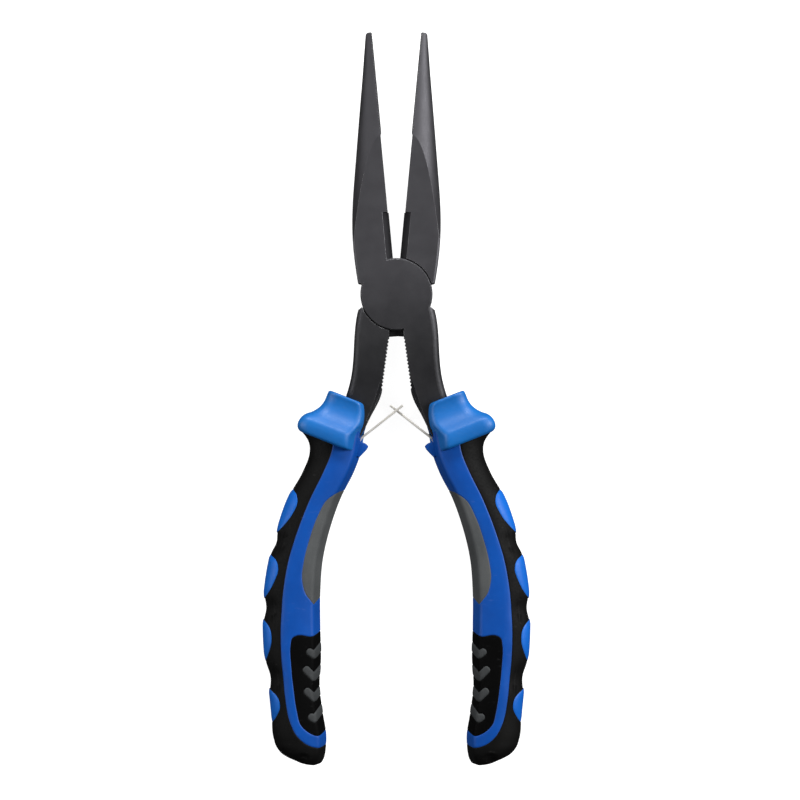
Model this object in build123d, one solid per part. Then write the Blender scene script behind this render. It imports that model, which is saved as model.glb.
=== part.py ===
from build123d import *
import os
from math import cos, radians, sin

# Long-nose fishing pliers: two forged steel halves on a lap joint, soft three-colour grips and
# interlocking leaf springs that push the handles apart.
#
# Frame: +Y runs from the pivot to the jaw tips, +X to the right, +Z out of the front face. The
# origin is on the pivot axis, at the joint's flat back face. The pliers stand as the springs leave
# them, a little open.
#
# The front half is the left jaw and the right handle. The rear half is the same forging, turned
# 180 degrees about Y. The left handle's grip and spring parts mirror the right handle's.

# ---------------------------------------------------------------- driving dimensions (mm, degrees)
OPEN_HALF = 5.3          # each half is turned this far from shut, at rest
JOINT_T = 10.4           # thickness of the joint and of the jaws' roots
HALF_T = JOINT_T / 2
JOINT_R = 10.3           # radius of each lap disc
LAP_GAP = 0.06           # between the two laps
SWEEP_GAP = 0.18         # between a lap disc and the shoulder that turns round it
RIM_CHAMFER = 0.35
BIG = 200.0              # larger than the pliers in any direction
CUT_PAST = 2.0           # cuts run this far past the faces that they open

RIVET_R = 3.5
RIVET_HEAD_R = 4.9
RIVET_HEAD_T = 1.4
RIVET_COVER = 1.9        # steel left over the rivet's blind end, on the front
RUNNING = 0.05           # clearance of the rivet in the rear half, and of the springs' feet on their seats

# Jaw, in the shut position, with its gripping face along x = 0.
JAW_TIP_Y = 75.4
JAW_TIP_W = 1.95
JAW_TAPER_END = (9.27, 32.2)
JAW_WIDEST = (11.0, 17.0)
JAW_SHOULDER = (10.65, 4.3)
JAW_ROOT = [(5.0, 2.5), (0.05, 6.5)]     # the jaw's underside, inside the lap disc
JAW_TIP_CHAMFER = (0.45, 0.5)            # of the tip's outer corner
JAW_TIP_EASE = (0.3, 0.35)               # of the tip's inner corner
JAW_EDGE_ROUND = 0.7
FACE_GAP = 0.05          # half the gap left between the jaws when shut
RELIEF = 0.3             # the smooth stretch behind the teeth stands back this far
TEETH_FROM_Y = 47.0
TEETH_FROM_TIP = 0.3     # plain stretch at the tip, before the first tooth
RELIEF_RAMP = 0.5
CUTTER_TOP_Y = 23.6
CUTTER_LOW_Y = 6.0
CUTTER_BEVEL = 1.95      # width of the ground bevel on each face
CUTTER_LAND = 0.15       # half thickness of the cutting edge
CUTTER_PAST = 0.1        # the bevel's plane is met this far beyond the face
TOOTH_PITCH = 0.8
TOOTH_DEPTH = 0.42
# The nose is ground as an elliptical cone: y, half width, half thickness.
NOSE_BACK = -2.0         # the cone reaches this far past the gripping face
NOSE = [(76.5, 1.95, 1.45), (45.6, 7.1, 5.2), (30.0, 9.8, 8.2), (14.0, 12.4, 12.5), (0.0, 15.0, 17.0)]

# Handle steel, in the rest position.
TANG_OUTER = [
    (10.95, -4.5), (12.0, -12.0), (12.25, -17.0), (12.95, -23.5), (14.6, -29.5), (18.0, -38.0), (22.0, -47.0),
    (26.6, -57.5), (30.0, -71.0), (31.5, -85.0), (31.7, -100.0), (30.8, -114.0),
]
TANG_END = (28.4, -116.2)
TANG_INNER = [(25.8, -114.2), (26.5, -100.0), (26.1, -86.0), (24.2, -73.0), (19.9, -59.0)]
TANG_NECK = (7.0, -34.1)     # between the coarse teeth and the spring's seat
TANG_TOP = [(2.1, -9.0), (5.0, -2.0), (9.9, -3.7)]   # inside the lap disc
TANG_T = 6.2             # thickness inside the grip
TANG_TAPER = (-12.0, -38.0)  # the thickness falls between these heights, in one smooth S
BARE_TO_Y = -33.0        # the outer edge is rounded down to here, inside the guard
TANG_EDGE_ROUND = 1.8
INNER_CHAMFER = ((3.55, -25.4), (8.0, -36.1))    # the tang's inner edge is chamfered along this line
CHAMFER_Z = 2.3          # height where the chamfer leaves the wall
CHAMFER_SLOPE = 58.0
WEB = [(2.4, -9.0), (-1.85, -9.0), (-1.85, -11.7), (2.4, -12.0)]     # floor of the crotch, under the lap
WEB_T = 2.4
WEB_ROOM_R = 12.3        # room for the other half's web
WEB_ROOM_T = 2.7
WEB_ROOM_X = 5.2         # the other web swings no further outward than this
PIPE_TEETH = ((2.1, -12.4), (4.05, -27.0))   # the coarse-toothed edge under the pivot
PIPE_PITCH = 1.05
PIPE_DEPTH = 0.38
SEAT = ((10.42, -40.85), (14.6, -47.8))      # flat on the tang that carries the spring's foot

SPRING_T = 0.6
SPRING_W = 4.4
SPRING_L = 15.2          # blade, from its bend to its tip
SPRING_CORNER = 0.8      # radius of the blade's end corners
SPRING_SLOPE = 38.3      # of the blade at rest, above X
FOOT_L = 8.2
FOOT_START = 0.36        # the blade's root turns in this gap
TONGUE_W = 1.8
TONGUE_FROM = 10.7
HOOK_L = 0.7
HOOK_T = 0.9
SLOT_W = 2.4
SLOT_FROM, SLOT_TO = 11.2, 14.55
PIN_R = 0.8
PIN_HEAD_R = 1.4
PIN_HEAD_T = 0.5
PIN_DEPTH = 3.0
PIN_AT = 5.0             # along the foot, from the bend

# Grip, in the rest position: y, inner edge x, outer edge x, half thickness.
GRIP = [
    (-37.0, 9.0, 25.6, 6.1), (-43.5, 8.2, 25.0, 6.3), (-50.7, 12.1, 27.1, 6.5),
    (-57.6, 15.6, 30.9, 6.6), (-66.8, 18.9, 34.2, 6.7), (-75.9, 21.0, 36.5, 6.8),
    (-85.0, 21.8, 37.9, 6.8), (-95.0, 21.8, 38.2, 6.8), (-104.0, 21.5, 37.7, 6.8),
    (-112.0, 21.8, 36.7, 6.8), (-119.5, 21.2, 35.9, 6.7), (-127.0, 19.9, 35.4, 6.6),
    (-136.0, 20.0, 35.0, 6.5),
]
SKIN = 1.7               # depth of the soft overmoulds
PROUD = 0.3              # the ovals and chevrons stand out this far
FACET = 1.75             # the inner side slopes in by this much up to its crease
CREASE_Z = 0.86          # height of the crease, as a share of the half thickness
CROWN_SHIFT = -0.3       # the highest point is this far from the middle of the width
SHOULDER = (2.4, 0.74)   # in from the outer side, and height as a share of the half thickness
HEEL = [
    (35.25, -127.5), (34.2, -130.6), (30.0, -133.4), (25.3, -134.6), (21.6, -133.9), (20.1, -130.5),
    (19.9, -127.0),
]
HEEL_Y = -134.6
HEEL_HALF_T = 6.9
HEEL_ROUND = 4.0
DIMPLE_AT = (26.7, -132.0)
DIMPLE_R = 1.7
DIMPLE_FLOOR_Z = 5.6

# Thumb guard, about a line tilted from the handle's root: distance along it, inner and outer side,
# half thickness.
GUARD_TILT = 21.5
GUARD = [
    (32.4, -3.5, 8.1, 6.6), (34.8, -4.9, 8.2, 6.2), (38.0, -6.2, 9.2, 6.7), (40.8, -6.8, 11.5, 8.1),
    (42.8, -7.0, 12.8, 9.1), (44.8, -7.1, 12.7, 9.2), (46.3, -7.2, 11.3, 8.7),
]
GUARD_ROUND = 2.2
POCKET_HALF_W = 2.8      # of the slot that the spring comes out of
POCKET = [(4.0, -33.5), (12.0, -33.5), (15.3, -47.3), (13.8, -49.7), (10.3, -43.2), (4.0, -43.2)]

# Colour boundaries of the grip, seen from the front.
INSIDE_X = 5.0           # further in than any part of the grip that has a boundary
BLACK_EDGE = [
    (17.6, -36.0), (18.5, -45.0), (20.8, -50.7), (24.2, -57.6), (27.9, -66.8), (30.7, -75.9),
    (32.3, -85.5), (32.85, -96.0), (32.4, -106.5), (31.5, -115.0), (30.2, -121.5), (28.0, -126.0),
    (24.5, -128.6), (21.3, -129.0), (17.0, -126.6),
]
PAD_EDGE = [
    (13.0, -55.6), (17.0, -56.7), (19.8, -58.6), (22.3, -63.0), (24.8, -70.0), (26.3, -76.0), (26.75, -80.8),
    (25.8, -84.9), (23.4, -88.3),
]
PAD_INNER_END = (18.4, -83.0)
PANEL_TOP = [(17.0, -92.6), (23.4, -97.4), (29.0, -96.9), (29.85, -99.0)]
PANEL_EDGE = [
    (29.85, -99.0), (29.8, -105.7), (29.1, -112.5), (28.2, -118.5), (26.8, -123.0), (24.6, -125.0),
    (22.2, -125.8),
]
PANEL_INNER_END = (17.0, -121.0)
# Finger ovals: y of the top, x and y of the deepest reach inward, y of the bottom.
OVALS = [
    (-56.2, 28.1, -59.4, -67.7), (-74.7, 33.6, -78.3, -86.8),
    (-93.1, 35.6, -98.4, -105.8), (-113.4, 33.4, -117.9, -124.6),
]
OVAL_TOP_RUN, OVAL_BOTTOM_RUN = 3.4, 4.6     # across, from the deepest reach to the top and bottom
OVAL_OUTSIDE = 42.0
# Chevrons: x and y of the rounded end on the face, y at the crease, y at the parting line.
CHEVRONS = [
    (25.3, -101.7, -102.5, -99.2), (26.4, -106.5, -108.7, -105.3),
    (26.1, -113.0, -114.8, -111.3), (24.6, -120.1, -120.6, -117.2),
]
CHEVRON_W = 2.4
CREASE_X = 23.3
PARTING_X = 21.3
CHEVRON_ROOT = 3.0       # the bars start this far inside the parting line


# ---------------------------------------------------------------- helpers
def direction(degrees):
    return Vector(cos(radians(degrees)), sin(radians(degrees)), 0)


def group(pieces):
    return Compound(children=[solid for piece in pieces for solid in piece.solids()])


def slab(face, half=HALF_T):
    """A face in XY, thickened to both sides of the mid-plane."""
    return extrude(face, amount=half, both=True)


def outline(*edges):
    return make_face(Curve() + list(edges))


def through(face):
    return slab(face, BIG / 2)


def section_at(y):
    """A plane across the pliers at a height, with its own x along X and its own y along Z."""
    return Plane(origin=(0, y, 0), x_dir=(1, 0, 0), z_dir=(0, -1, 0))


def saw(start, end, pitch, depth):
    """A row of V grooves for the edge that runs from start to end, cut towards its left side."""
    first, last = Vector(*start), Vector(*end)
    step = (last - first).normalized()
    into = Vector(-step.Y, step.X, 0)
    count = int((last - first).length / pitch)
    points = [first - into * CUT_PAST]
    for i in range(count):
        points += [first + step * (i * pitch), first + step * ((i + 0.5) * pitch) + into * depth]
    points += [first + step * (count * pitch), first + step * (count * pitch) - into * CUT_PAST]
    return through(make_face(Polyline(*points, close=True)))


# ---------------------------------------------------------------- steel halves
def nose_cone():
    """The elliptical cone that rounds the outside of the jaw."""
    sections = []
    for y, half_w, half_t in NOSE:
        bow = EllipticalCenterArc((0, 0), half_w, half_t, start_angle=-90, arc_size=180)
        back = Polyline((0, half_t), (NOSE_BACK, half_t), (NOSE_BACK, -half_t), (0, -half_t))
        sections.append(section_at(y) * outline(bow, back))
    return loft(sections)


def side_cutter():
    """The two bevels that leave a cutting edge on the inner face."""
    cuts = []
    for side in (1, -1):
        face_z = side * (HALF_T + CUTTER_PAST)
        edge_z = side * CUTTER_LAND
        wedge = Polyline(
            (FACE_GAP, edge_z), (CUTTER_BEVEL, face_z), (NOSE_BACK, face_z), (NOSE_BACK, edge_z), close=True
        )
        cuts.append(extrude(section_at(CUTTER_TOP_Y) * make_face(wedge), amount=CUTTER_TOP_Y - CUTTER_LOW_Y))
    return cuts


def right_jaw():
    """A jaw in the shut position: a slab rounded to a cone, with teeth, a relief and a side cutter."""
    outer = Spline(JAW_TAPER_END, JAW_WIDEST, JAW_SHOULDER, tangents=[(0.172, -1, 0), (-0.08, -1, 0)])
    ease_x, ease_y = JAW_TIP_EASE
    chamfer_x, chamfer_y = JAW_TIP_CHAMFER
    rest = Polyline(
        JAW_SHOULDER, *JAW_ROOT, (FACE_GAP, CUTTER_TOP_Y), (RELIEF, CUTTER_TOP_Y),
        (RELIEF, TEETH_FROM_Y - RELIEF_RAMP), (FACE_GAP, TEETH_FROM_Y), (FACE_GAP, JAW_TIP_Y - ease_y),
        (FACE_GAP + ease_x, JAW_TIP_Y), (JAW_TIP_W - chamfer_x, JAW_TIP_Y),
        (JAW_TIP_W, JAW_TIP_Y - chamfer_y), JAW_TAPER_END,
    )
    blank = slab(outline(outer, rest))
    rims = blank.edges().filter_by(GeomType.BSPLINE)
    blank = fillet(rims, JAW_EDGE_ROUND) & nose_cone()
    blank -= saw((FACE_GAP, JAW_TIP_Y - TEETH_FROM_TIP), (FACE_GAP, TEETH_FROM_Y), TOOTH_PITCH, TOOTH_DEPTH)
    return blank - side_cutter()


def taper_profile():
    """The handle's side view, from the joint's thickness down to the tang's."""
    start_y, end_y = TANG_TAPER
    level = (-1, 0, 0)
    front = Spline((start_y, HALF_T), (end_y, TANG_T / 2), tangents=[level, level])
    back = mirror(front, about=Plane.XZ)
    tail = Polyline((end_y, TANG_T / 2), (-BIG, TANG_T / 2), (-BIG, -TANG_T / 2), (end_y, -TANG_T / 2))
    head = Polyline((start_y, -HALF_T), (0, -HALF_T), (0, HALF_T), (start_y, HALF_T))
    return outline(front, tail, back, head)


def inner_chamfer():
    """The wedges cut from the tang's inner edge, front and back."""
    start, end = (Vector(*point) for point in INNER_CHAMFER)
    run = end - start
    into = Vector(-run.Y, run.X, 0).normalized()
    reach = 2 * HALF_T
    width = (reach - CHAMFER_Z) / sin(radians(CHAMFER_SLOPE)) * cos(radians(CHAMFER_SLOPE))
    cuts = []
    for side in (1, -1):
        low, high = side * CHAMFER_Z, side * reach
        wedge = make_face(Polyline((0, low), (width, high), (-width, high), (-width, low), close=True))
        plane = Plane(origin=start, x_dir=into, z_dir=into.cross(Vector(0, 0, 1)))
        cuts.append(extrude(plane * wedge, amount=run.length, dir=run.normalized()))
    return cuts


def right_tang():
    """A handle's steel at rest: a toothed edge under the pivot, then a narrow tang inside the grip."""
    outer = Spline(*TANG_OUTER)
    end = ThreePointArc(TANG_OUTER[-1], TANG_END, TANG_INNER[0])
    inner_low = Spline(*TANG_INNER, SEAT[1], tangents=[(0.07, 1, 0), (-0.515, 0.857, 0)])
    inner_high = Spline(SEAT[0], TANG_NECK, PIPE_TEETH[1], tangents=[(-0.5, 0.857, 0), (-0.133, 1, 0)])
    top = Polyline(PIPE_TEETH[1], PIPE_TEETH[0], *TANG_TOP, TANG_OUTER[0])
    blank = slab(outline(outer, end, inner_low, Line(SEAT[1], SEAT[0]), inner_high, top))
    blank &= extrude(Plane.YZ * taper_profile(), amount=BIG)
    bare = blank & Pos(0, BARE_TO_Y, 0) * Box(BIG, BIG, BIG, align=(Align.CENTER, Align.MIN, Align.CENTER))
    rims = bare.edges().filter_by(lambda edge: edge.length > 10 and (edge @ 0.5).X > TANG_OUTER[0][0])
    blank = fillet(rims, TANG_EDGE_ROUND) + (blank - bare)
    return blank - saw(*PIPE_TEETH, PIPE_PITCH, PIPE_DEPTH) - inner_chamfer()


def front_half():
    """Left jaw, front lap disc and right tang, less the room that the rear lap turns in."""
    disc = Pos(0, 0, LAP_GAP / 2) * Cylinder(
        JOINT_R, HALF_T - LAP_GAP / 2, align=(Align.CENTER, Align.CENTER, Align.MIN)
    )
    disc = chamfer(disc.edges().filter_by(GeomType.CIRCLE).sort_by(Axis.Z)[-1], RIM_CHAMFER)
    left_jaw = mirror(right_jaw(), about=Plane.YZ).rotate(Axis.Z, OPEN_HALF)
    tang = right_tang()
    room = Pos(0, 0, LAP_GAP / 2) * Cylinder(
        JOINT_R + SWEEP_GAP, HALF_T + 1, align=(Align.CENTER, Align.CENTER, Align.MAX)
    )
    web = Pos(0, 0, LAP_GAP / 2) * extrude(make_face(Polyline(*WEB, close=True)), amount=WEB_T)
    web_room = Pos(0, 0, LAP_GAP / 2) * Cylinder(
        WEB_ROOM_R, WEB_ROOM_T, align=(Align.CENTER, Align.CENTER, Align.MAX)
    )
    web_room &= Pos(WEB_ROOM_X, 0, 0) * Box(BIG, BIG, BIG, align=(Align.MAX, Align.CENTER, Align.CENTER))
    return left_jaw - room + (tang - room - web_room + web) + disc


def turned_over(part):
    """The rear half's place for something made for the front half."""
    return part.rotate(Axis.Y, 180)


def pivot_rivet():
    """Blind in the front half, with a countersunk head flush in the rear half's face."""
    shank_l = JOINT_T - RIVET_COVER
    shank = Pos(0, 0, -HALF_T) * Cylinder(RIVET_R, shank_l, align=(Align.CENTER, Align.CENTER, Align.MIN))
    head = Pos(0, 0, -HALF_T) * Cone(
        RIVET_HEAD_R, RIVET_R, RIVET_HEAD_T, align=(Align.CENTER, Align.CENTER, Align.MIN)
    )
    return shank + head


def rivet_room(clearance):
    """The rivet's shape, grown by its clearance and run out through the back face."""
    grown = Pos(0, 0, -HALF_T) * Cylinder(
        RIVET_R + clearance, JOINT_T - RIVET_COVER, align=(Align.CENTER, Align.CENTER, Align.MIN)
    )
    head = Pos(0, 0, -HALF_T) * Cone(
        RIVET_HEAD_R + clearance, RIVET_R + clearance, RIVET_HEAD_T + clearance,
        align=(Align.CENTER, Align.CENTER, Align.MIN),
    )
    return grown + head


# ---------------------------------------------------------------- springs
SEAT_ALONG = (Vector(*SEAT[1]) - Vector(*SEAT[0])).normalized()
SEAT_OUT = Vector(SEAT_ALONG.Y, -SEAT_ALONG.X, 0)
BEND = Vector(*SEAT[0]) + SEAT_OUT * (SPRING_T / 2 + RUNNING)


def on_seat(part):
    """Moves a piece from its own frame, X along the foot and Y out of the seat, to the right handle."""
    return Plane(origin=Vector(*SEAT[0]), x_dir=SEAT_ALONG, z_dir=(0, 0, 1)) * part


def pin(hole=False):
    """The small rivet that holds the foot to the tang, along -Y of the seat's frame."""
    shank = Cylinder(PIN_R, PIN_DEPTH + SPRING_T + RUNNING, align=(Align.CENTER, Align.CENTER, Align.MIN))
    shank = Pos(0, 0, -PIN_DEPTH) * shank
    if not hole:
        shank += Pos(0, 0, SPRING_T + RUNNING) * Cylinder(
            PIN_HEAD_R, PIN_HEAD_T, align=(Align.CENTER, Align.CENTER, Align.MIN)
        )
    stand = Plane(origin=(PIN_AT, 0, 0), x_dir=(1, 0, 0), z_dir=(0, -1, 0))
    return on_seat(stand * shank)


def spring_foot():
    middle = Pos((FOOT_START + FOOT_L) / 2, -(RUNNING + SPRING_T / 2), 0)
    strip = middle * Box(FOOT_L - FOOT_START, SPRING_T, SPRING_W)
    return on_seat(strip) - pin(hole=True)


def blade_blank():
    """A strip along X from its bend at the origin, with a rounded root."""
    strip = Pos(SPRING_L / 2, 0, 0) * Box(SPRING_L, SPRING_T, SPRING_W)
    corners = strip.edges().filter_by(Axis.Y).sort_by(Axis.X)[-2:]
    return fillet(corners, SPRING_CORNER) + Cylinder(SPRING_T / 2, SPRING_W)


def tongue_blade():
    """The right blade: its end narrows to a tongue with a hook, which passes through the other's slot."""
    blade = blade_blank()
    length = SPRING_L - TONGUE_FROM + 1
    for side in (1, -1):
        z = side * (TONGUE_W / 2 + SPRING_W / 2)
        blade -= Pos(TONGUE_FROM + length / 2, 0, z) * Box(length, CUT_PAST, SPRING_W)
    return blade + Pos(SPRING_L - HOOK_L / 2, 0, 0) * Box(HOOK_L, HOOK_T, TONGUE_W)


def slotted_blade():
    return blade_blank() - Pos((SLOT_FROM + SLOT_TO) / 2, 0, 0) * Box(SLOT_TO - SLOT_FROM, CUT_PAST, SLOT_W)


def at_bend(blade):
    return Pos(BEND) * Rot(0, 0, 180 - SPRING_SLOPE) * blade


# ---------------------------------------------------------------- grips
def grip_section(y, inner, outer, half_t, grow):
    """Nearly flat front and back, a rounded outer side, and an inner side faceted to a crease."""
    inner, outer, half_t = inner - grow, outer + grow, half_t + grow
    crease = (inner + FACET, half_t * CREASE_Z)
    middle = (0.5 * (inner + outer) + CROWN_SHIFT, half_t)
    shoulder = (outer - SHOULDER[0], half_t * SHOULDER[1])
    front = Spline(crease, middle, shoulder, (outer, 0), tangents=[(1, 0.16), (0, -1)])
    back = mirror(front, about=Plane.XZ)
    facets = Polyline((crease[0], -crease[1]), (inner, 0), crease)
    return section_at(y) * outline(front, back, facets)


def grip_loft(grow=0.0):
    return loft([grip_section(*row, grow) for row in GRIP])


def heel_block():
    """What the grip keeps: all of it above the heel, and a round end at the heel."""
    curve = Spline(*HEEL, tangents=[(-0.1, -1, 0), (0.02, 1, 0)])
    sides = Polyline(HEEL[-1], (0, HEEL[-1][1]), (0, 0), (BIG, 0), (BIG, HEEL[0][1]), HEEL[0])
    kept = through(outline(curve, sides))
    flat = Rectangle(BIG, 2 * HEEL_HALF_T, align=(Align.MIN, Align.CENTER))
    profile = Plane.YZ * (Pos(HEEL_Y, 0) * fillet(flat.vertices().group_by(Axis.X)[0], HEEL_ROUND))
    return kept & extrude(profile, amount=BIG)


def guard():
    along = direction(GUARD_TILT - 90)
    across = direction(GUARD_TILT)
    sections = []
    for far, inner, outer, half_t in GUARD:
        middle = along * far + across * (inner + outer) / 2
        plane = Plane(origin=middle, x_dir=across, z_dir=along)
        sections.append(plane * RectangleRounded(outer - inner, 2 * half_t, GUARD_ROUND))
    return loft(sections)


def black_region():
    edge = Spline(*BLACK_EDGE)
    end = BLACK_EDGE[-1]
    beyond = [(INSIDE_X, end[1]), (INSIDE_X, -BIG), (BIG, -BIG), (BIG, BLACK_EDGE[0][1])]
    rest = Polyline(end, *beyond, BLACK_EDGE[0])
    return through(outline(edge, rest))


def pad_region():
    top, tip = PAD_EDGE[0], PAD_EDGE[-1]
    rest = Polyline(tip, PAD_INNER_END, (INSIDE_X, PAD_INNER_END[1]), (INSIDE_X, top[1]), top)
    return through(outline(Spline(*PAD_EDGE), rest))


def panel_region():
    end = PANEL_EDGE[-1]
    rest = Polyline(end, PANEL_INNER_END, PANEL_TOP[0], *PANEL_TOP[1:])
    return through(outline(Spline(*PANEL_EDGE), rest))


def chevron_regions():
    """Bars that rise from the crease to the parting line, each with a round outer end."""
    bars = []
    half = CHEVRON_W / 2
    for end_x, end_y, crease_y, parting_y in CHEVRONS:
        rise = (parting_y - crease_y) / (CREASE_X - PARTING_X)
        root_x = PARTING_X - CHEVRON_ROOT
        root_y = parting_y + CHEVRON_ROOT * rise
        upper = [(end_x, end_y + half), (CREASE_X, crease_y + half), (root_x, root_y + half)]
        lower = [(x, y - 2 * half) for x, y in reversed(upper)]
        bar = make_face(Polyline(*upper, *lower, close=True)) + Pos(end_x, end_y) * Circle(half)
        bars.append(through(bar))
    return bars


def oval_regions():
    """The finger ovals reach in from beyond the outer side."""
    ovals = []
    for top_y, deep_x, deep_y, bottom_y in OVALS:
        top_x, bottom_x = deep_x + OVAL_TOP_RUN, deep_x + OVAL_BOTTOM_RUN
        top, deepest, bottom = (top_x, top_y), (deep_x, deep_y), (bottom_x, bottom_y)
        curve = Spline(top, deepest, bottom, tangents=[(-1, 0.1, 0), (0.62, -1, 0)])
        rest = Polyline(bottom, (OVAL_OUTSIDE, bottom_y - 1), (OVAL_OUTSIDE, top_y), top)
        ovals.append(through(outline(curve, rest)))
    return ovals


def spring_pocket():
    """The slot that the spring comes out of, with a channel for its foot."""
    return extrude(make_face(Polyline(*POCKET, close=True)), amount=POCKET_HALF_W, both=True)


def dimple():
    """A small round moulding mark, sunk into the front of the heel."""
    base = Pos(*DIMPLE_AT, DIMPLE_FLOOR_Z)
    return base * Cylinder(DIMPLE_R, BIG, align=(Align.CENTER, Align.CENTER, Align.MIN))


def grip_pieces(tang):
    """The pieces of the right handle's grip, by name."""
    heel = heel_block()
    outer = grip_loft() & heel
    inner = grip_loft(-SKIN) & (Pos(0, SKIN, 0) * heel)
    skin = outer - inner
    proud_skin = grip_loft(PROUD) - inner
    skin_room = grip_loft(SKIN) - inner
    thumb_guard = guard()
    black, pad, panel = black_region(), pad_region(), panel_region()
    ovals, bars = oval_regions(), chevron_regions()

    cover = (skin & black) - thumb_guard - ovals - dimple()
    core = outer + thumb_guard - ((skin_room & black) - thumb_guard)
    for region in [pad, panel, *ovals]:
        core -= skin_room & region
    core -= spring_pocket()
    core -= tang
    return {
        "grip_core": core,
        "grip_cover": cover,
        "grip_pad": skin & pad,
        "chevron_panel": (skin & panel) - bars,
        "chevrons": group([proud_skin & bar for bar in bars]),
        "finger_ovals": group([proud_skin & oval for oval in ovals]),
    }


# ---------------------------------------------------------------- the whole
def build():
    forging = front_half()
    tang = right_tang()
    parts = {
        "jaw_half_front": forging - rivet_room(0) - pin(hole=True),
        "jaw_half_rear": turned_over(forging) - rivet_room(RUNNING) - mirror(pin(hole=True), about=Plane.YZ),
        "pivot_rivet": pivot_rivet(),
    }
    handle = grip_pieces(tang)
    handle["spring_foot"] = spring_foot()
    handle["spring_pin"] = pin()
    for name, piece in handle.items():
        parts[name + "_right"] = piece
        parts[name + "_left"] = mirror(piece, about=Plane.YZ)
    parts["spring_blade_right"] = at_bend(tongue_blade())
    parts["spring_blade_left"] = mirror(at_bend(slotted_blade()), about=Plane.YZ)
    return parts


os.makedirs("parts", exist_ok=True)
for name, piece in build().items():
    export_step(Pos(0, 0, HALF_T) * piece, "parts/" + name + ".step")
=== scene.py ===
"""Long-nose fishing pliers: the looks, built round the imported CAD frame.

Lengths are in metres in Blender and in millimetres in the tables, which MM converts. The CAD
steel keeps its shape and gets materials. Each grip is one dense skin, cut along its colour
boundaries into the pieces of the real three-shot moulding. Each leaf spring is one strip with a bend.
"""
import math

import bmesh
import bpy
import numpy as np
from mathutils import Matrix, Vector


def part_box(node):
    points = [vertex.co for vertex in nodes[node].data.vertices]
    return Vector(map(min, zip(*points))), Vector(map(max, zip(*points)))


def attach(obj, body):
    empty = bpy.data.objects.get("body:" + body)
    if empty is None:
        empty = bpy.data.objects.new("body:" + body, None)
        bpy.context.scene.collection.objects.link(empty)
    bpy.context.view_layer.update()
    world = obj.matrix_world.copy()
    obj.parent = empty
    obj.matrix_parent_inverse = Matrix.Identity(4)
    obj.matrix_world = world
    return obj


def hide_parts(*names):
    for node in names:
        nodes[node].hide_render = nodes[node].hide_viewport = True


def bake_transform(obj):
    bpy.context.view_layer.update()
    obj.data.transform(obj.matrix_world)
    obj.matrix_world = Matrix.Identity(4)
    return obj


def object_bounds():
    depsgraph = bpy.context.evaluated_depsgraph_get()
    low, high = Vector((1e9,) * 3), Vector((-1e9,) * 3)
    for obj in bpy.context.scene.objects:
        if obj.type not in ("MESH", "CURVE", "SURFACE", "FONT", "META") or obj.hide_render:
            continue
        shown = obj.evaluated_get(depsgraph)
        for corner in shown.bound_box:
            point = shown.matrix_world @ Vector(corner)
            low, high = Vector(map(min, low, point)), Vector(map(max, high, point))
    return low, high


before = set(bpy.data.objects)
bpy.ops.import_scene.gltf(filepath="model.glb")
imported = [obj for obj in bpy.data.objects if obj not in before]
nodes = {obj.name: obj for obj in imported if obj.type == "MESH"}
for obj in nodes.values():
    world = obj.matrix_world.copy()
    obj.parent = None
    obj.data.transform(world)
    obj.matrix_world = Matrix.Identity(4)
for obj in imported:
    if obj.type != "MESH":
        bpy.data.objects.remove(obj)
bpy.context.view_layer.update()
MM = 0.001
steel_low, steel_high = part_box("jaw_half_front")
MID_Z = 0.5 * (steel_low.z + steel_high.z)
SIDES = {"right": 1, "left": -1}
BODY = {"right": "front_half", "left": "rear_half"}

# ---------------------------------------------------------------- grip dimensions (mm)
# y, inner edge x, outer edge x, half thickness
GRIP = [
    (-134.6, 23.0, 24.6, 1.2), (-134.2, 21.8, 26.8, 3.3), (-133.2, 20.9, 29.4, 4.9),
    (-131.5, 20.35, 32.7, 6.0), (-129.5, 20.1, 34.5, 6.5), (-127.0, 19.95, 35.4, 6.65),
    (-119.5, 21.0, 36.0, 6.7), (-112.0, 21.9, 36.8, 6.8), (-104.0, 21.5, 37.9, 6.8),
    (-95.0, 21.7, 38.4, 6.8), (-85.0, 21.7, 38.1, 6.8), (-75.9, 21.0, 36.7, 6.8),
    (-66.8, 18.9, 34.3, 6.7), (-57.6, 15.6, 31.0, 6.6), (-50.7, 12.1, 27.1, 6.5),
    (-45.0, 10.1, 25.1, 6.3), (-43.3, 9.8, 25.1, 6.27), (-41.6, 9.5, 25.6, 6.22),
    (-40.2, 9.35, 26.5, 6.2), (-38.8, 9.2, 27.6, 6.15), (-37.0, 9.0, 28.2, 6.1),
]
ROW_STEP = 0.45          # between the skin's rows
HEEL_FROM_Y = -131.0     # below here the rows close up, to follow the round of the heel
HEEL_ROWS = 15
FACET = 1.9              # the inner side slopes in by this much up to its crease
FACET_SHARE = 0.3        # and never by more than this share of the width
CREASE = 0.87            # height of the crease over the half thickness
FRONT_SPAN = (0.38, 0.66)    # the flat of the front, as shares of the width
SHOULDER = (0.9, 0.6)    # in from the outer edge, and as a share of the half thickness
CORNER_ROUND = [0.7, 0.9, 2.2, 3.0, 2.6, 3.0]     # radii from the inner edge round to the outer one
CORNER_SHARE = 0.47      # a rounded corner takes up no more than this share of a side
ARC_POINTS = 5
EDGE_POINTS = [10, 7, 8, 8, 5]

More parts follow.
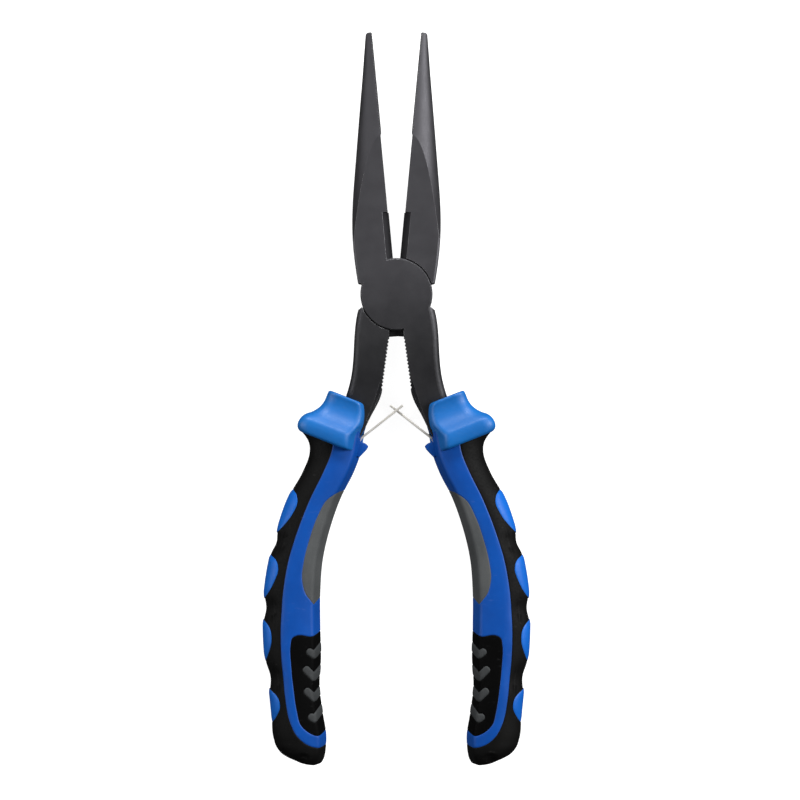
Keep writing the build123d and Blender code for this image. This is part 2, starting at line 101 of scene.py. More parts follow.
# Colour boundaries, seen from the front: x, y
INSIDE_X = 5.0           # further in than any part of a grip
FAR = 200.0              # further out or down than any part of a grip
BLACK_EDGE = [
    (17.6, -36.0), (18.5, -45.0), (20.8, -50.7), (24.2, -57.6), (27.9, -66.8), (30.7, -75.9),
    (32.3, -85.5), (32.9, -96.0), (32.5, -106.5), (31.6, -115.0), (30.3, -121.5), (28.2, -125.6),
    (24.8, -128.3), (21.3, -129.0), (17.0, -126.6),
]
PAD_EDGE = [
    (13.0, -55.6), (16.8, -56.6), (19.8, -58.6), (22.3, -63.0), (24.8, -70.0), (26.3, -76.0), (26.8, -80.8),
    (25.9, -84.9), (23.4, -88.3),
]
PAD_INNER_END = (18.4, -83.0)
PANEL_EDGE = [
    (17.0, -92.6), (21.4, -96.0), (23.6, -97.2), (28.2, -96.9), (29.6, -97.6), (30.05, -99.6), (29.9, -105.7),
    (29.2, -112.5), (28.3, -118.5), (27.2, -122.4), (25.2, -124.4), (22.6, -125.6), (17.0, -121.0),
]
# Finger ovals: y of the top, x and y of the deepest reach inward, y of the bottom
OVALS = [
    (-54.9, 28.2, -58.9, -66.0), (-74.2, 33.7, -77.9, -86.6),
    (-92.8, 35.6, -98.3, -108.2), (-113.0, 33.2, -117.6, -124.0),
]
# An oval's outline: distance out from its deepest reach, how far down it is (0 the top, 1 the
# deepest reach, 2 the bottom), and a shift in y.
OVAL_OUTLINE = [
    (6.5, 0, 1.2), (2.6, 0, 0), (0.55, 1 / 3, -0.4), (0, 1, 0), (1.2, 1.5, 0.4), (4.2, 2, 0), (6.5, 2, -2.2),
]
OVAL_OUTSIDE = 42.0
# Chevrons: x and y of the rounded end, y at the crease, y at the parting line
CHEVRONS = [
    (25.6, -101.7, -102.6, -100.4), (26.6, -106.7, -109.0, -106.8),
    (26.3, -112.9, -114.8, -112.7), (25.1, -120.2, -120.7, -118.4),
]
CHEVRON_W = 2.1
CREASE_X, PARTING_X = 23.3, 21.2

# Relief of the skin
DIPS = [(-70.6, 2.6), (-89.6, 3.0), (-109.3, 3.4)]   # y and half length of the finger dips between the ovals
DIP_DEPTH = 0.85
DIP_FACING = (0.1, 0.7)  # the dips fade in between these x parts of the skin's direction
GROOVE_DEPTH = 0.12      # of the groove along each boundary
GROOVE_HALF_W = 0.3
SNAP = 0.02              # a point this near to a boundary counts as on it
CHEVRON_RISE, CHEVRON_RAMP = 0.1, 0.5
OVAL_RISE, OVAL_RAMP = 0.2, 1.2
SHELL = 1.1              # thickness of each moulded skin
SHARP_ANGLE = math.radians(55)
DIMPLE_AT = (26.7, -132.0)
DIMPLE_R = 1.6
DIMPLE_FLAT = 0.55       # its flat floor, as a share of its radius
DIMPLE_DEPTH = 0.6

# Thumb guard, along an axis tilted from the handle's root
GUARD_TILT = math.radians(21.5)
# distance along the axis, inner side, outer side, half thickness
GUARD = [
    (32.4, -3.8, 7.95, 6.7), (34.0, -4.5, 7.95, 6.15), (36.4, -5.3, 8.15, 5.95), (38.5, -5.85, 9.05, 6.55),
    (40.0, -6.0, 10.3, 7.5), (41.0, -6.25, 11.5, 8.35), (42.0, -6.5, 12.2, 9.1), (43.2, -6.75, 12.6, 9.3),
    (44.5, -7.0, 12.65, 9.2), (45.4, -7.1, 12.35, 9.0), (46.35, -7.1, 11.6, 8.7),
]
GUARD_STEP = 0.3
GUARD_RIM = 0.7          # radius of its top and bottom rims
RIM_ROWS = 5
GUARD_ROUND = [0.8, 1.4, 3.2, 3.2, 1.4]    # of its long edges, from the one facing the other handle
GUARD_EDGE_POINTS = [12, 22, 20, 22, 12]
GUARD_FACET = (1.7, 6.0, 0.85)   # width of its inner facets, at this half thickness, and growth per mm of it

# Tab under the guard: its outline in the handle's plane
TAB = [(10.9, -41.8), (8.9, -42.6), (8.05, -43.4), (8.5, -44.3), (10.7, -46.6), (12.2, -45.8)]
TAB_HALF_T = 2.9
TAB_ROUND = 0.25         # of its front and back rims
TAB_CORNER = 0.3
TAB_EDGE_POINTS = 3

# Springs, placed as in the CAD, from a slightly heavier strip
SEAT = ((10.42, -40.85), (14.6, -47.8))
SPRING_T, SPRING_W, SPRING_L = 0.66, 4.4, 15.2
SPRING_SLOPE = math.radians(38.3)
SPRING_BEND = 0.4        # the bend takes this much off the foot and the blade
SPRING_STEP = 0.2
SPRING_EDGE = 0.09       # width of the deburred edges
SEAT_CLEARANCE = 0.05
FOOT_L = 8.2
TONGUE_W, TONGUE_FROM = 1.8, 10.7
SLOT_W, SLOT_FROM, SLOT_TO = 2.4, 11.2, 14.55

FULL_SHADE_Y, NO_SHADE_Y = -16.0, 9.0       # the steel's colour is darker below the one and lighter above the other: painted shade for the tangs, which tilt away from the lights

# ---------------------------------------------------------------- stage (m)
FLOOR_SIZE = 4.0
FLOOR_GAP = 0.0002
FLOOR_GLOW = 0.94
BACKDROP_R = 1.9
BACKDROP_GLOW = 0.95
WORLD_LIGHT = 0.08
WHITE = (1, 1, 1, 1)
AIM = (0, -0.03, 0)
# name, place, size and watts of each light
LIGHTS = [
    ("right", (0.72, 0.16, 0.52), (0.35, 0.6), 12.5),
    ("top", (0.05, 0.80, 0.42), (0.7, 0.3), 12.5),
    ("left", (-0.60, 0.0, 0.40), (0.3, 0.6), 3.5),
]
VIEW_CENTRE = (0.0010, -0.0301)
VIEW_HEIGHT = 0.2292     # what the picture takes in, at the middle of the pliers
LENS = 110.0             # mm
SENSOR = 36.0


# ---------------------------------------------------------------- curves and meshes
def smooth_table(table, at):
    """Every column of a table at new places of its first column, along smooth cubic spans."""
    rows = np.array(table, float)
    rows = rows[np.argsort(rows[:, 0])]
    x, y = rows[:, 0], rows[:, 1:]
    step = np.diff(x)[:, None]
    secant = np.diff(y, axis=0) / step
    slope = np.vstack([secant[:1], (secant[:-1] * step[1:] + secant[1:] * step[:-1]) / (step[1:] + step[:-1]),
                       secant[-1:]])
    i = np.clip(np.searchsorted(x, at) - 1, 0, len(x) - 2)
    h = step[i]
    t = (np.asarray(at) - x[i])[:, None] / h
    return (y[i] * (1 + 2 * t) * (1 - t) ** 2 + slope[i] * h * t * (1 - t) ** 2
            + y[i + 1] * t * t * (3 - 2 * t) + slope[i + 1] * h * t * t * (t - 1))


def smooth_line(points, per_span=10):
    """A smooth open line through points."""
    points = np.array(points, float)
    key = np.concatenate([[0], np.cumsum(np.linalg.norm(np.diff(points, axis=0), axis=1))])
    at = np.linspace(0, key[-1], per_span * (len(points) - 1) + 1)
    return smooth_table(np.column_stack([key, points]), at)


def ramp(low, high, x):
    t = np.clip((x - low) / (high - low), 0, 1)
    return t * t * (3 - 2 * t)


def rounded_loop(corners, radii, edge_points):
    """A closed loop with rounded corners and evenly split sides, with the same count for any corners."""
    corners = np.array(corners, float)
    count = len(corners)
    arcs = []
    for i, corner in enumerate(corners):
        ends = []
        for other in (corners[i - 1], corners[(i + 1) % count]):
            away = other - corner
            length = np.linalg.norm(away)
            ends.append(corner + away / length * min(radii[i], CORNER_SHARE * length))
        t = np.linspace(0, 1, ARC_POINTS)[:, None]
        arcs.append(ends[0] * (1 - t) ** 2 + corner * 2 * t * (1 - t) + ends[1] * t * t)
    loop = []
    for i, arc in enumerate(arcs):
        loop.append(arc)
        start, end = arc[-1], arcs[(i + 1) % count][0]
        t = np.linspace(0, 1, edge_points[i] + 2)[1:-1, None]
        loop.append(start * (1 - t) + end * t)
    return np.vstack(loop)


def lofted(rows):
    """Vertices and faces of a tube through equal rows of points, closed at both ends."""
    count = len(rows[0])
    points = np.vstack(rows)
    faces = []
    for r in range(len(rows) - 1):
        for i in range(count):
            j = (i + 1) % count
            faces.append((r * count + i, r * count + j, (r + 1) * count + j, (r + 1) * count + i))
    faces.append(tuple(reversed(range(count))))
    faces.append(tuple(range((len(rows) - 1) * count, len(rows) * count)))
    return points, faces


def add_mesh(name, points, faces, material, side=1):
    """A new object from points in mm about the mid-plane; side -1 mirrors it to the left handle."""
    mesh = bpy.data.meshes.new(name)
    place = [(side * x * MM, y * MM, MID_Z + z * MM) for x, y, z in points]
    turned = [tuple(reversed(face)) if side < 0 else face for face in faces]
    mesh.from_pydata(place, [], turned)
    mesh.shade_smooth()
    mesh.materials.append(material)
    mesh.validate()
    obj = bpy.data.objects.new(name, mesh)
    bpy.context.scene.collection.objects.link(obj)
    return obj


def outward(points, faces):
    """The faces of a closed mesh, all turned round if they point inward."""
    volume = 0.0
    for face in faces:
        for a, b in zip(face[1:-1], face[2:]):
            volume += np.dot(points[face[0]], np.cross(points[a], points[b]))
    return faces if volume > 0 else [tuple(reversed(face)) for face in faces]


def on_handle(obj, side_name, node):
    """Hands a moulded piece over: hides the part it replaces and attaches the piece to the body that it rides
    on.
    """
    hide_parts(f"{node}_{side_name}")
    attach(obj, BODY[side_name])


# ---------------------------------------------------------------- materials
class Material:
    """A Principled material with short calls for the procedural nodes used here."""

    def __init__(self, name, **constants):
        self.material = bpy.data.materials.new(name)
        self.material.use_nodes = True
        self.nodes = self.material.node_tree.nodes
        self.links = self.material.node_tree.links
        self.shader = self.nodes["Principled BSDF"]
        for socket, value in constants.items():
            self.shader.inputs[socket.replace("_", " ")].default_value = value
        self.place = self.nodes.new("ShaderNodeTexCoord").outputs["Object"]

    def height(self):
        """Place along the pliers, up to the tips."""
        node = self.nodes.new("ShaderNodeSeparateXYZ")
        self.link(self.place, node.inputs[0])
        return node.outputs["Y"]

    def link(self, a, b):
        self.links.new(a, b)

    def noise(self, scale, detail=3.0, roughness=0.5, stretch=(1, 1, 1)):
        mapping = self.nodes.new("ShaderNodeMapping")
        mapping.inputs["Scale"].default_value = stretch
        texture = self.nodes.new("ShaderNodeTexNoise")
        texture.inputs["Scale"].default_value = scale
        texture.inputs["Detail"].default_value = detail
        texture.inputs["Roughness"].default_value = roughness
        self.link(self.place, mapping.inputs["Vector"])
        self.link(mapping.outputs["Vector"], texture.inputs["Vector"])
        return texture.outputs["Fac"]

    def between(self, value, low, high, to_low=0.0, to_high=1.0):
        node = self.nodes.new("ShaderNodeMapRange")
        node.interpolation_type = "SMOOTHSTEP"
        for socket, number in zip(("From Min", "From Max", "To Min", "To Max"), (low, high, to_low, to_high)):
            node.inputs[socket].default_value = number
        self.link(value, node.inputs["Value"])
        return node.outputs["Result"]

    def mix(self, share, first, second):
        node = self.nodes.new("ShaderNodeMix")
        node.data_type = "RGBA"
        for socket, value in zip((6, 7), (first, second)):
            if isinstance(value, tuple):
                node.inputs[socket].default_value = (*value, 1)
            else:
                self.link(value, node.inputs[socket])
        self.link(share, node.inputs[0])
        return node.outputs[2]

    def combine(self, operation, a, b):
        node = self.nodes.new("ShaderNodeMath")
        node.operation = operation
        for socket, value in zip(node.inputs, (a, b)):
            if isinstance(value, (int, float)):
                socket.default_value = value
            else:
                self.link(value, socket)
        return node.outputs[0]

    def edges(self, radius, low, high):
        """1 along convex and concave edges, 0 on flats, from a rounded normal."""
        bevel = self.nodes.new("ShaderNodeBevel")
        bevel.samples = 4
        bevel.inputs["Radius"].default_value = radius
        geometry = self.nodes.new("ShaderNodeNewGeometry")
        dot = self.nodes.new("ShaderNodeVectorMath")
        dot.operation = "DOT_PRODUCT"
        self.link(bevel.outputs["Normal"], dot.inputs[0])
        self.link(geometry.outputs["Normal"], dot.inputs[1])
        return self.between(self.combine("SUBTRACT", 1.0, dot.outputs["Value"]), low, high)

    def bump(self, height, distance, strength=1.0, rounded=None):
        node = self.nodes.new("ShaderNodeBump")
        node.inputs["Strength"].default_value = strength
        node.inputs["Distance"].default_value = distance
        self.link(height, node.inputs["Height"])
        if rounded:
            bevel = self.nodes.new("ShaderNodeBevel")
            bevel.samples = 4
            bevel.inputs["Radius"].default_value = rounded
            self.link(bevel.outputs["Normal"], node.inputs["Normal"])
        self.link(node.outputs["Normal"], self.shader.inputs["Normal"])

    def colour(self, value):
        self.link(value, self.shader.inputs["Base Color"])

    def rough(self, value):
        self.link(value, self.shader.inputs["Roughness"])


def black_steel():
    """Satin black oxide with fine grain, cloudy sheen and bare metal at worn edges, and painted shade that
    darkens it on the tangs.
    """
    m = Material("black_oxide_steel", Metallic=0.8, Specular_IOR_Level=0.5)
    clouds = m.noise(140, 4, 0.6)
    grain = m.noise(2600, 3, 0.6)
    brushed = m.noise(900, 3, 0.6, (1, 0.06, 1))
    worn = m.edges(0.22 * MM, 0.03, 0.3)
    patchy = m.combine("MULTIPLY", worn, m.between(m.noise(420, 3, 0.6), 0.42, 0.62, 0.25, 1.0))
    # painted shade: a darker colour on the tangs than on the head, standing in for the tangs tilting away
    # from the lights
    unshaded_steel = m.mix(m.between(clouds, 0.2, 0.8), (0.046, 0.045, 0.050), (0.051, 0.050, 0.055))
    tang_painted_shade = m.mix(m.between(clouds, 0.2, 0.8), (0.020, 0.020, 0.022), (0.026, 0.026, 0.028))
    base = m.mix(m.between(m.height(), FULL_SHADE_Y * MM, NO_SHADE_Y * MM), tang_painted_shade, unshaded_steel)
    m.colour(m.mix(patchy, base, (0.3, 0.3, 0.31)))
    m.rough(m.between(m.combine("ADD", grain, m.combine("MULTIPLY", clouds, 0.6)), 0.5, 1.1, 0.46, 0.6))
    m.bump(m.combine("ADD", m.combine("MULTIPLY", grain, 0.5), brushed), 0.006 * MM, 0.6, rounded=0.12 * MM)
    return m.material


def spring_steel():
    """Bright rolled strip, a little uneven in tone, with faint lines along its length."""
    m = Material("spring_steel_strip", Metallic=0.55)
    tone = m.noise(160, 2, 0.4)
    lines = m.noise(900, 2, 0.5, (0.2, 0.2, 1.6))
    m.colour(m.mix(m.between(tone, 0.25, 0.75), (0.56, 0.54, 0.50), (0.66, 0.64, 0.60)))
    m.rough(m.between(lines, 0.3, 0.7, 0.36, 0.44))
    m.bump(lines, 0.001 * MM, 0.3)
    return m.material


def moulded(name, dark, light, gloss, texture_scale, texture_depth, specular=0.5):
    """A moulded plastic or rubber: a fine spark-eroded texture, soft colour clouds and faint scuffs."""
    m = Material(name, Specular_IOR_Level=specular)
    clouds = m.noise(90, 4, 0.55)
    grain = m.noise(texture_scale, 2, 0.5)
    scuffs = m.between(m.noise(700, 4, 0.7, (0.35, 1.4, 1)), 0.62, 0.72)
    rubbed = m.edges(0.35 * MM, 0.02, 0.25)
    base = m.mix(m.between(clouds, 0.3, 0.7), dark, light)
    lift = m.combine("ADD", m.combine("MULTIPLY", scuffs, 0.02), m.combine("MULTIPLY", rubbed, 0.03))
    m.colour(m.mix(lift, base, tuple(0.45 + 0.55 * c for c in light)))
    uneven = m.combine("ADD", grain, m.combine("MULTIPLY", scuffs, 0.4))
    m.rough(m.between(uneven, 0.3, 0.9, gloss - 0.06, gloss + 0.1))
    m.bump(grain, texture_depth * MM, 0.7)
    return m.material


# name, dark and light tone, roughness, scale and depth of the texture, specular level
MOULDED = {
    "blue": ("blue_hard_plastic", (0.0004, 0.040, 0.215), (0.0006, 0.048, 0.25), 0.5, 1500, 0.012, 0.16),
    # the guard's blue is a lighter copy of the body's blue: painted light for the guard's top, which faces
    # the lights
    "guard": ("blue_guard_painted_light", (0.001, 0.082, 0.29), (0.0014, 0.097, 0.33), 0.5, 1500, 0.016, 0.35),
    "inlay": ("blue_inlay_plastic", (0.001, 0.074, 0.345), (0.0014, 0.09, 0.395), 0.5, 1500, 0.012, 0.2),
    "black": ("black_soft_rubber", (0.0014,) * 3, (0.0023, 0.0022, 0.0021), 0.64, 1900, 0.03, 0.08),
    "grey": ("grey_soft_rubber", (0.045, 0.048, 0.049), (0.06, 0.063, 0.064), 0.62, 1900, 0.03, 0.15),
    "panel": ("black_panel_rubber", (0.0008,) * 3, (0.0014,) * 3, 0.64, 1900, 0.03, 0.03),
    "bar": ("grey_bar_rubber", (0.024, 0.026, 0.027), (0.032, 0.034, 0.035), 0.62, 1900, 0.03, 0.12),
}
MAT = {"steel": black_steel(), "spring": spring_steel()}
MAT.update({look: moulded(*recipe) for look, recipe in MOULDED.items()})


# ---------------------------------------------------------------- grip skin
def grip_rows():
    """Rings of points round the grip, from the guard to the heel."""
    heights = np.arange(GRIP[-1][0], HEEL_FROM_Y, -ROW_STEP)
    heel_turn = np.linspace(0, math.pi / 2, HEEL_ROWS + 1)[1:]
    heights = np.concatenate([heights, heights[-1] + (GRIP[0][0] - heights[-1]) * np.sin(heel_turn)])
    rows = []
    for y, (inner, outer, half_t) in zip(heights, smooth_table(GRIP, heights)):
        width = outer - inner
        facet = min(FACET, FACET_SHARE * width)
        front = [
            (inner + facet, CREASE * half_t), (inner + FRONT_SPAN[0] * width, half_t),
            (inner + FRONT_SPAN[1] * width, half_t), (outer - SHOULDER[0], SHOULDER[1] * half_t),
        ]
        back = [(x, -z) for x, z in reversed(front)]
        corners = [(inner, 0), *front, (outer, 0), *back]
        radii = CORNER_ROUND + CORNER_ROUND[-2:0:-1]
        loop = rounded_loop(corners, radii, EDGE_POINTS + EDGE_POINTS[::-1])
        rows.append(np.column_stack([loop[:, 0], np.full(len(loop), y), loop[:, 1]]))
    return rows


def inside_distance(points, loop):
    """Distance in XY from each point to a closed loop, positive inside it."""
    loop = np.array(loop, float)
    a, b = loop, np.roll(loop, -1, axis=0)
    side = b - a
    nearest = np.full(len(points), 1e9)
    inside = np.zeros(len(points), bool)
    for start, span in zip(a, side):
        length = max(span @ span, 1e-12)
        t = np.clip(((points - start) @ span) / length, 0, 1)
        nearest = np.minimum(nearest, np.linalg.norm(points - start - t[:, None] * span, axis=1))
        end = start + span
        crosses = (start[1] > points[:, 1]) != (end[1] > points[:, 1])
        x = start[0] + (points[:, 1] - start[1]) * span[0] / (span[1] if span[1] else 1e-12)
        inside ^= crosses & (points[:, 0] < x)
    return np.where(inside, nearest, -nearest)


def line_distance(points, line):
    nearest = np.full(len(points), 1e9)
    for start, end in zip(line[:-1], line[1:]):
        start, span = np.array(start, float), np.subtract(end, start)
        t = np.clip(((points - start) @ span) / (span @ span), 0, 1)
        nearest = np.minimum(nearest, np.linalg.norm(points - start - t[:, None] * span, axis=1))
    return nearest


def black_outline():
    end_y = BLACK_EDGE[-1][1]
    beyond = [(INSIDE_X, end_y), (INSIDE_X, -FAR), (FAR, -FAR), (FAR, BLACK_EDGE[0][1])]
    return [*smooth_line(BLACK_EDGE), *beyond]


def pad_outline():
    return [*smooth_line(PAD_EDGE), PAD_INNER_END, (INSIDE_X, PAD_INNER_END[1]), (INSIDE_X, PAD_EDGE[0][1])]


def oval_outline(top_y, deep_x, deep_y, bottom_y):
    points = []
    for out, down, shift in OVAL_OUTLINE:
        y = np.interp(down, (0, 1, 2), (top_y, deep_y, bottom_y)) + shift
        points.append((deep_x + out, y))
    return [*smooth_line(points), (OVAL_OUTSIDE, points[-1][1]), (OVAL_OUTSIDE, points[0][1])]


def chevron_line(end_x, end_y, crease_y, parting_y):
    """The middle of a bar, from its rounded end over the crease and past the parting line."""
    past = (2 * PARTING_X - CREASE_X, 2 * parting_y - crease_y)
    return [(end_x - CHEVRON_W / 2, end_y), (CREASE_X, crease_y), (PARTING_X, parting_y), past]


def region_fields(points):
    """For each colour region, how far inside it each point is."""
    flat = points[:, :2]
    ovals = [inside_distance(flat, oval_outline(*row)) for row in OVALS]
    bars = [CHEVRON_W / 2 - line_distance(flat, chevron_line(*row)) for row in CHEVRONS]
    return {
        "black": inside_distance(flat, black_outline()),
        "pad": inside_distance(flat, pad_outline()),
        "panel": inside_distance(flat, smooth_line(PANEL_EDGE)),
        "chevrons": np.max(bars, axis=0),
        "ovals": np.max(ovals, axis=0),
    }


def cut_along(bm, layer, level):
    """Cuts the mesh where a field has a level, so that faces lie on one side of it."""
    on_line = []
    for v in bm.verts:
        if abs(v[layer] - level) < SNAP:
            v[layer] = level
            on_line.append(v)
    for edge in list(bm.edges):
        a, b = edge.verts
        before, after = a[layer] - level, b[layer] - level
        if before * after < 0:
            _, made = bmesh.utils.edge_split(edge, a, before / (before - after))
            made[layer] = level
            on_line.append(made)
    bmesh.ops.connect_verts(bm, verts=on_line)


def cut_skin():
    """The grip's skin as a bmesh, cut along every colour boundary, with its smooth normals in a layer."""
    points, faces = lofted(grip_rows())
    faces = outward(points, faces)
    bm = bmesh.new()
    verts = [bm.verts.new(p) for p in points]
    for face in faces:
        bm.faces.new([verts[i] for i in face])
    bmesh.ops.triangulate(bm, faces=[f for f in bm.faces if len(f.verts) > 4])
    bm.normal_update()
    fields = region_fields(points)
    layers = {name: bm.verts.layers.float.new(name) for name in fields}
    outward_layer = bm.verts.layers.float_vector.new("outward")
    bm.verts.ensure_lookup_table()
    for v in bm.verts:
        v[outward_layer] = v.normal
    for name, values in fields.items():
        for v, value in zip(bm.verts, values):
            v[layers[name]] = value
    for name in fields:
        for level in (0.0, -GROOVE_HALF_W, GROOVE_HALF_W, -0.5 * GROOVE_HALF_W, 0.5 * GROOVE_HALF_W):
            cut_along(bm, layers[name], level)
    return bm, layers, outward_layer


def rise_at(point, normal, value):
    """How far the finished surface stands off the plain skin, in mm."""
    rise = 0.0
    for name in ("black", "pad", "panel", "chevrons", "ovals"):
        near = max(0.0, 1 - abs(value[name]) / GROOVE_HALF_W)
        rise -= GROOVE_DEPTH * near * near
    rise += CHEVRON_RISE * float(ramp(0.0, CHEVRON_RAMP, value["chevrons"]))
    rise += OVAL_RISE * float(ramp(0.0, OVAL_RAMP, value["ovals"]))
    outer_side = float(ramp(*DIP_FACING, normal.x))
    if value["ovals"] < 0:
        for dip_y, half_l in DIPS:
            rise -= DIP_DEPTH * outer_side * math.exp(-((point.y - dip_y) / half_l) ** 2)
    from_dimple = math.hypot(point.x - DIMPLE_AT[0], point.y - DIMPLE_AT[1])
    if point.z > 0:
        rise -= DIMPLE_DEPTH * float(1 - ramp(DIMPLE_FLAT * DIMPLE_R, DIMPLE_R, from_dimple))
    return rise


def piece_of(face, layers):
    """Which moulding a face of the cut skin belongs to."""
    mean = {name: sum(v[layer] for v in face.verts) / len(face.verts) for name, layer in layers.items()}
    if mean["chevrons"] > 0 and mean["panel"] > 0:
        return "chevrons"
    if mean["panel"] > 0:
        return "chevron_panel"
    if mean["pad"] > 0:
        return "grip_pad"
    if mean["ovals"] > 0 and mean["black"] > 0:
        return "finger_ovals"
    return "grip_cover" if mean["black"] > 0 else "grip_core"


PIECE_LOOK = {
    "grip_core": "blue", "grip_cover": "black", "grip_pad": "grey",
    "chevron_panel": "panel", "chevrons": "bar", "finger_ovals": "inlay",
}


def walled(points, normals, faces):
    """A patch of skin made into a closed shell, SHELL thick, with square sides at its border."""
    count = len(points)
    sides = {}
    for face in faces:
        for i, a in enumerate(face):
            b = face[(i + 1) % len(face)]
            if (b, a) in sides:
                del sides[(b, a)]
            else:
                sides[(a, b)] = True
    inner = [p - n * SHELL for p, n in zip(points, normals)]
    under = [tuple(count + i for i in reversed(face)) for face in faces]
    rim = [(b, a, count + a, count + b) for a, b in sides]
    return points + inner, faces + under + rim


def finished_points(bm, layers, outward_layer):
    """Every point of the cut skin with its relief, and the skin's direction there."""
    points, normals = [], []
    for v in bm.verts:
        value = {name: v[layer] for name, layer in layers.items()}
        normal = Vector(v[outward_layer]).normalized()
        points.append(v.co + normal * rise_at(v.co, normal, value))
        normals.append(normal)
    return points, normals


def build_grips():
    bm, layers, outward_layer = cut_skin()
    bm.verts.index_update()
    points, normals = finished_points(bm, layers, outward_layer)
    pieces = {piece: [] for piece in PIECE_LOOK}
    for face in bm.faces:
        pieces[piece_of(face, layers)].append([v.index for v in face.verts])
    bm.free()
    for piece, faces in pieces.items():
        used = sorted({i for face in faces for i in face})
        renumber = {old: new for new, old in enumerate(used)}
        faces = [tuple(renumber[i] for i in face) for face in faces]
        shell = walled([points[i] for i in used], [normals[i] for i in used], faces)
        look = PIECE_LOOK[piece]
        for side_name, side in SIDES.items():
            obj = add_mesh(f"{piece}_skin_{side_name}", *shell, MAT[look], side)
            obj.data.set_sharp_from_angle(angle=SHARP_ANGLE)
            on_handle(obj, side_name, piece)


# ---------------------------------------------------------------- thumb guards
def guard_places():
    """Places along the guard's axis, closing up at its rims, and how far the guard is drawn in at each."""
    first, last = GUARD[0][0], GUARD[-1][0]
    turn = np.linspace(0, math.pi / 2, RIM_ROWS + 1)[:-1]
    inset = [GUARD_RIM * (1 - math.sin(t)) for t in turn]
    before = [first - GUARD_RIM * math.cos(t) + GUARD_RIM for t in turn]
    after = [last + GUARD_RIM * math.cos(t) - GUARD_RIM for t in turn]
    between = np.arange(first, last + GUARD_STEP / 2, GUARD_STEP)
    between = [p for p in between if first + GUARD_RIM <= p <= last - GUARD_RIM]
    places = before + between + after[::-1]
    return places, inset + [0.0] * len(between) + inset[::-1]


def build_guards():
    """A saddle for the thumb, with a deep lip below it."""
    along = np.array([math.sin(GUARD_TILT), -math.cos(GUARD_TILT)])
    across = np.array([math.cos(GUARD_TILT), math.sin(GUARD_TILT)])
    places, insets = guard_places()
    facet_w, facet_at, facet_growth = GUARD_FACET
    rows = []
    for place, inset, (inner, outer, half_t) in zip(places, insets, smooth_table(GUARD, places)):
        facet = facet_w + facet_growth * (half_t - facet_at)
        inner, outer, half_t = inner + inset, outer - inset, half_t - inset
        front = [(inner + facet, half_t), (outer, half_t)]
        corners = [(inner, 0), *front, (outer, -half_t), (inner + facet, -half_t)]
        loop = rounded_loop(corners, GUARD_ROUND, GUARD_EDGE_POINTS)
        flat = place * along + loop[:, :1] * across
        rows.append(np.column_stack([flat, loop[:, 1]]))
    points, faces = lofted(rows)
    faces = outward(points, faces)
    for side_name, side in SIDES.items():
        obj = add_mesh(f"thumb_guard_{side_name}", points, faces, MAT["guard"], side)
        on_handle(obj, side_name, "grip_core")


def build_tabs():
    """The small lip of plastic that points at the other handle, just under each guard."""
    turn = np.linspace(0, math.pi / 2, 4)
    front = [(TAB_ROUND * (1 - math.sin(t)), TAB_HALF_T - TAB_ROUND * (1 - math.cos(t))) for t in turn]
    back = [(inset, -z) for inset, z in reversed(front)]
    middle = np.mean(TAB, axis=0)
    outline = rounded_loop(TAB, [TAB_CORNER] * len(TAB), [TAB_EDGE_POINTS] * len(TAB))
    reach = np.linalg.norm(outline - middle, axis=1)[:, None]
    rows = []
    for inset, z in front + back:
        loop = middle + (outline - middle) * (1 - inset / reach)
        rows.append(np.column_stack([loop, np.full(len(loop), z)]))
    points, faces = lofted(rows)
    faces = outward(points, faces)
    for side_name, side in SIDES.items():
        obj = add_mesh(f"spring_tab_{side_name}", points, faces, MAT["blue"], side)
        on_handle(obj, side_name, "grip_core")


# ---------------------------------------------------------------- springs
def spring_path():
    """The bend, the blade's direction, points from foot to tip, and their lengths from the bend."""
    seat_top = np.array(SEAT[0])
    along = np.subtract(SEAT[1], SEAT[0])
    along = along / np.linalg.norm(along)
    out = np.array([along[1], -along[0]])
    bend = seat_top + out * (SPRING_T / 2 + SEAT_CLEARANCE)
    blade = np.array([-math.cos(SPRING_SLOPE), math.sin(SPRING_SLOPE)])
    foot = np.arange(FOOT_L, SPRING_BEND, -2 * SPRING_STEP)
    lengths = np.arange(SPRING_BEND, SPRING_L + 0.01, SPRING_STEP)
    turn = 0.25 * (bend + along * SPRING_BEND) + 0.5 * bend + 0.25 * (bend + blade * SPRING_BEND)
    path = np.array([*(bend + along * s for s in foot), turn, *(bend + blade * s for s in lengths)])
    return bend, blade, path, np.concatenate([-foot, [0.0], lengths])


def build_spring(side_name, columns, left_out):
    """One strip with a foot and a blade; left_out(length, z) says where metal is cut away."""
    side = SIDES[side_name]
    bend, blade, path, lengths = spring_path()
    points = [(x, y, z) for x, y in path for z in columns]
    count = len(columns)
    faces = []
    for r in range(len(path) - 1):
        length = 0.5 * (lengths[r] + lengths[r + 1])
        for c in range(count - 1):
            first = r * count + c
            if not left_out(length, abs(0.5 * (columns[c] + columns[c + 1]))):
                faces.append((first, first + 1, first + count + 1, first + count))
    obj = add_mesh(f"leaf_spring_{side_name}", points, faces, MAT["spring"], side)
    shell = obj.modifiers.new("strip", "SOLIDIFY")
    shell.thickness = SPRING_T * MM
    shell.offset = 0
    rounded = obj.modifiers.new("deburred", "BEVEL")
    rounded.width = SPRING_EDGE * MM
    rounded.segments = 2
    rounded.limit_method = "ANGLE"
    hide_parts(f"spring_foot_{side_name}", f"spring_blade_{side_name}")
    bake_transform(obj)


def build_springs():
    half = SPRING_W / 2
    tongue = TONGUE_W / 2
    slot = SLOT_W / 2
    build_spring("right", [-half, -tongue, tongue, half], lambda s, z: s > TONGUE_FROM and z > tongue)
    build_spring("left", [-half, -slot, slot, half], lambda s, z: SLOT_FROM < s < SLOT_TO and z < slot)


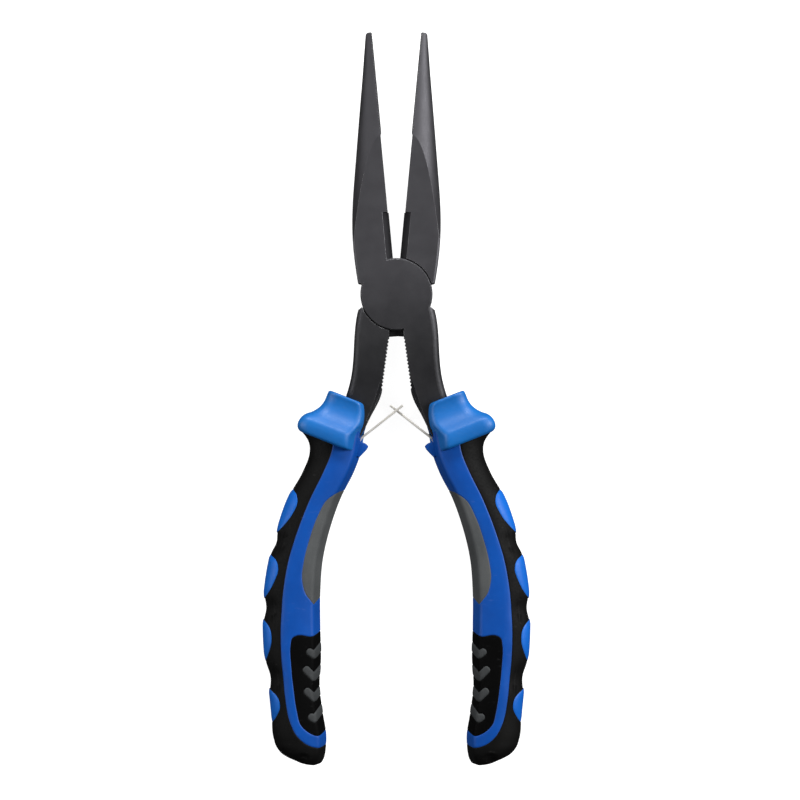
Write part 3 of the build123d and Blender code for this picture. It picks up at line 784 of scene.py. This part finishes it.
# ---------------------------------------------------------------- CAD pieces that stay
def give_material(obj, material):
    obj.data.materials.clear()
    obj.data.materials.append(material)


def finish_steel():
    for name in ("jaw_half_front", "jaw_half_rear", "pivot_rivet"):
        give_material(nodes[name], MAT["steel"])
    for side_name in SIDES:
        give_material(nodes[f"spring_pin_{side_name}"], MAT["spring"])


# ---------------------------------------------------------------- stage
def glowing(name, strength):
    """Pale and matt, with a glow of its own that keeps shadows faint."""
    m = Material(name)
    m.colour(m.mix(m.between(m.noise(12, 3), 0.3, 0.7), (0.30, 0.30, 0.30), (0.34, 0.34, 0.34)))
    m.rough(m.between(m.noise(60, 2), 0.3, 0.7, 0.7, 0.8))
    m.shader.inputs["Emission Color"].default_value = WHITE
    m.shader.inputs["Emission Strength"].default_value = strength
    return m.material


def build_stage():
    floor_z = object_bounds()[0][2] - FLOOR_GAP
    bpy.ops.mesh.primitive_plane_add(size=FLOOR_SIZE, location=(0, 0, floor_z))
    floor = bpy.context.object
    floor.name = "floor"
    floor.data.materials.append(glowing("light_table", FLOOR_GLOW))
    bpy.ops.mesh.primitive_uv_sphere_add(radius=BACKDROP_R, segments=64, ring_count=32)
    backdrop = bpy.context.object
    backdrop.name = "backdrop"
    backdrop.data.shade_smooth()
    backdrop.data.materials.append(glowing("backdrop", BACKDROP_GLOW))
    backdrop.visible_shadow = False
    for piece in (floor, backdrop):
        piece.visible_diffuse = False
        piece.visible_glossy = False
    world = bpy.data.worlds.new("studio")
    bpy.context.scene.world = world
    world.use_nodes = True
    background = world.node_tree.nodes["Background"]
    background.inputs["Color"].default_value = WHITE
    background.inputs["Strength"].default_value = WORLD_LIGHT


def build_lights():
    for name, place, size, watts in LIGHTS:
        light = bpy.data.lights.new(name, "AREA")
        light.shape = "RECTANGLE"
        light.size, light.size_y = size
        light.energy = watts
        obj = bpy.data.objects.new(name, light)
        bpy.context.scene.collection.objects.link(obj)
        obj.location = place
        obj.rotation_euler = (Vector(AIM) - Vector(place)).to_track_quat("-Z", "Y").to_euler()


def build_camera():
    camera = bpy.data.cameras.new("camera")
    camera.lens = LENS
    camera.sensor_width = SENSOR
    obj = bpy.data.objects.new("camera", camera)
    bpy.context.scene.collection.objects.link(obj)
    obj.location = (*VIEW_CENTRE, MID_Z + VIEW_HEIGHT * LENS / SENSOR)
    bpy.context.scene.camera = obj


bpy.context.scene.view_settings.view_transform = "Standard"
finish_steel()
build_grips()
build_guards()
build_tabs()
build_springs()
build_camera()
build_lights()
build_stage()
